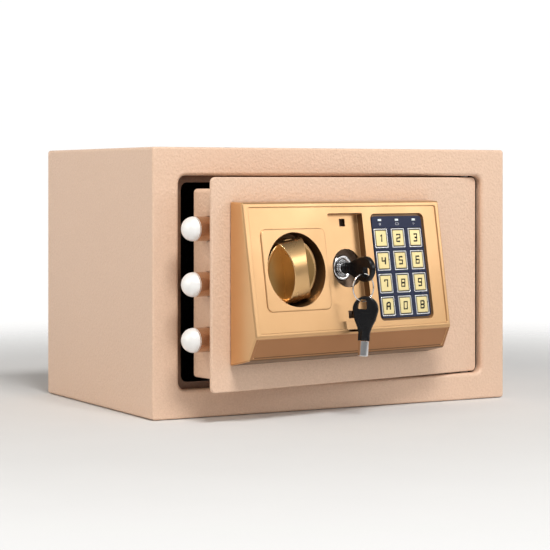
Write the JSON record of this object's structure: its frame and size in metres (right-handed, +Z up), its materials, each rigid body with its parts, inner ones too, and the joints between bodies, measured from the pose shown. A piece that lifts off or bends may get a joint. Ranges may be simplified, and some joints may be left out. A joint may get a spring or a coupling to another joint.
{
  "type": "in-room safe",
  "caption": "Small electronic in-room safe with a hinged door, keypad, turn knob, key lock and sliding bolts.",
  "frame": {"origin": "centre of the body's base", "axes": "+Z up, front opening faces -Y, hinges on the +X side; the door rests 9.8 degrees open"},
  "size_m": [0.313, 0.2694, 0.2],
  "materials": {
    "coat": "textured powder coat",
    "lining": "matte felt",
    "zinc": "zinc plated",
    "gold": "satin gold",
    "label": "satin film",
    "board": "solder mask",
    "lens": "translucent",
    "chrome": "polished",
    "black_plastic": "moulded",
    "cell": "printed jacket",
    "red_plastic": "moulded"
  },
  "bodies": {
    "body": {"body_shell": "coat", "back_panel": "coat", "floor_mat": "lining", "door_stop_frame": "coat", "hinge_bracket_upper": "zinc", "hinge_bracket_lower": "zinc", "hinge_pin_upper": "zinc", "hinge_pin_lower": "zinc"},
    "door": {"door_plate": "coat", "door_box": "coat", "rear_cover": "zinc", "cover_screw_1": "zinc", "cover_screw_2": "zinc", "cover_screw_3": "zinc", "cover_screw_4": "zinc", "battery_tray": "black_plastic", "battery_1": "cell", "battery_2": "cell", "battery_3": "cell", "battery_4": "cell", "panel_housing": "gold", "keypad_overlay": "label", "keypad_board": "board", "led_lens_1": "lens", "led_lens_2": "lens", "led_lens_3": "lens", "lock_barrel": "chrome", "lock_nut": "zinc", "solenoid_body": "zinc", "solenoid_spring": "zinc"},
    "knob": {"knob": "gold", "knob_spindle": "zinc", "spindle_cam": "zinc"},
    "bolts": {"bolt_carriage": "zinc", "lock_bolt_1": "chrome", "lock_bolt_2": "chrome", "lock_bolt_3": "chrome"},
    "plug": {"lock_plug": "chrome", "lock_cam": "zinc"},
    "key": {"key_tube": "chrome", "key_head": "black_plastic"},
    "ring": {"key_ring": "chrome"},
    "spare_key": {"spare_key_head": "black_plastic", "spare_key_tube": "chrome"},
    "plunger": {"solenoid_plunger": "zinc"},
    "battery_door": {"battery_cover": "black_plastic"},
    "reset": {"reset_button": "red_plastic"},
    "button_1": {"key_1": "gold"},
    "button_2": {"key_2": "gold"},
    "button_3": {"key_3": "gold"},
    "button_4": {"key_4": "gold"},
    "button_5": {"key_5": "gold"},
    "button_6": {"key_6": "gold"},
    "button_7": {"key_7": "gold"},
    "button_8": {"key_8": "gold"},
    "button_9": {"key_9": "gold"},
    "button_a": {"key_a": "gold"},
    "button_0": {"key_0": "gold"},
    "button_b": {"key_b": "gold"}
  },
  "joints": [
    {"name": "door_hinge", "type": "hinge", "parent": "body", "child": "door", "pos_m": [0.1256, -0.0905, 0.1], "axis": [0, 0, 1], "range_deg": [-9.8, 80.2]},
    {"name": "knob_turn", "type": "hinge", "parent": "door", "child": "knob", "pos_m": [-0.06743, -0.13095, 0.1091], "axis": [-0.1702, 0.9854, 0], "range_deg": [0, 90.1]},
    {"name": "bolt_slide", "type": "slide", "parent": "door", "child": "bolts", "axis": [0.9854, 0.1702, 0], "range_m": [0, 0.017]},
    {"name": "key_turn", "type": "hinge", "parent": "door", "child": "plug", "pos_m": [-0.01422, -0.12176, 0.1096], "axis": [-0.1702, 0.9854, 0], "range_deg": [-90, 0]},
    {"name": "plunger_slide", "type": "slide", "parent": "door", "child": "plunger", "axis": [0, 0, 1], "range_m": [0, 0.00401], "deforming": ["solenoid_spring"]},
    {"name": "key_pull", "type": "slide", "parent": "plug", "child": "key", "axis": [0.1702, -0.9854, 0], "range_m": [0, 0.02]},
    {"name": "ring_swing", "type": "hinge", "parent": "key", "child": "ring", "pos_m": [-0.00801, -0.15772, 0.1057], "axis": [0.9854, 0.1702, 0], "range_deg": [-60, 4]},
    {"name": "spare_swing", "type": "hinge", "parent": "ring", "child": "spare_key", "pos_m": [-0.01136, -0.1583, 0.08588], "axis": [0.9854, 0.1702, 0], "range_deg": [-30, 5]},
    {"name": "battery_cover_slide", "type": "slide", "parent": "door", "child": "battery_door", "axis": [0, 0, -1], "range_m": [0, 0.01]},
    {"name": "reset_press", "type": "slide", "parent": "door", "child": "reset", "axis": [0.1702, -0.9854, 0], "range_m": [0, 0.0015], "stiffness_N_per_m": 700},
    {"name": "press_1", "type": "slide", "parent": "door", "child": "button_1", "axis": [-0.168, 0.9728, -0.1596], "range_m": [0, 0.0009], "stiffness_N_per_m": 600},
    {"name": "press_2", "type": "slide", "parent": "door", "child": "button_2", "axis": [-0.168, 0.9728, -0.1596], "range_m": [0, 0.0009], "stiffness_N_per_m": 600},
    {"name": "press_3", "type": "slide", "parent": "door", "child": "button_3", "axis": [-0.168, 0.9728, -0.1596], "range_m": [0, 0.0009], "stiffness_N_per_m": 600},
    {"name": "press_4", "type": "slide", "parent": "door", "child": "button_4", "axis": [-0.168, 0.9728, -0.1596], "range_m": [0, 0.0009], "stiffness_N_per_m": 600},
    {"name": "press_5", "type": "slide", "parent": "door", "child": "button_5", "axis": [-0.168, 0.9728, -0.1596], "range_m": [0, 0.0009], "stiffness_N_per_m": 600},
    {"name": "press_6", "type": "slide", "parent": "door", "child": "button_6", "axis": [-0.168, 0.9728, -0.1596], "range_m": [0, 0.0009], "stiffness_N_per_m": 600},
    {"name": "press_7", "type": "slide", "parent": "door", "child": "button_7", "axis": [-0.168, 0.9728, -0.1596], "range_m": [0, 0.0009], "stiffness_N_per_m": 600},
    {"name": "press_8", "type": "slide", "parent": "door", "child": "button_8", "axis": [-0.168, 0.9728, -0.1596], "range_m": [0, 0.0009], "stiffness_N_per_m": 600},
    {"name": "press_9", "type": "slide", "parent": "door", "child": "button_9", "axis": [-0.168, 0.9728, -0.1596], "range_m": [0, 0.0009], "stiffness_N_per_m": 600},
    {"name": "press_a", "type": "slide", "parent": "door", "child": "button_a", "axis": [-0.168, 0.9728, -0.1596], "range_m": [0, 0.0009], "stiffness_N_per_m": 600},
    {"name": "press_0", "type": "slide", "parent": "door", "child": "button_0", "axis": [-0.168, 0.9728, -0.1596], "range_m": [0, 0.0009], "stiffness_N_per_m": 600},
    {"name": "press_b", "type": "slide", "parent": "door", "child": "button_b", "axis": [-0.168, 0.9728, -0.1596], "range_m": [0, 0.0009], "stiffness_N_per_m": 600}
  ],
  "couplings": [
    {"joint": "knob_turn", "follows": "bolt_slide", "rad_per_m": 92.4},
    {"joint": "plunger_slide", "follows": "key_turn", "m_per_rad": -0.0025465}
  ]
}
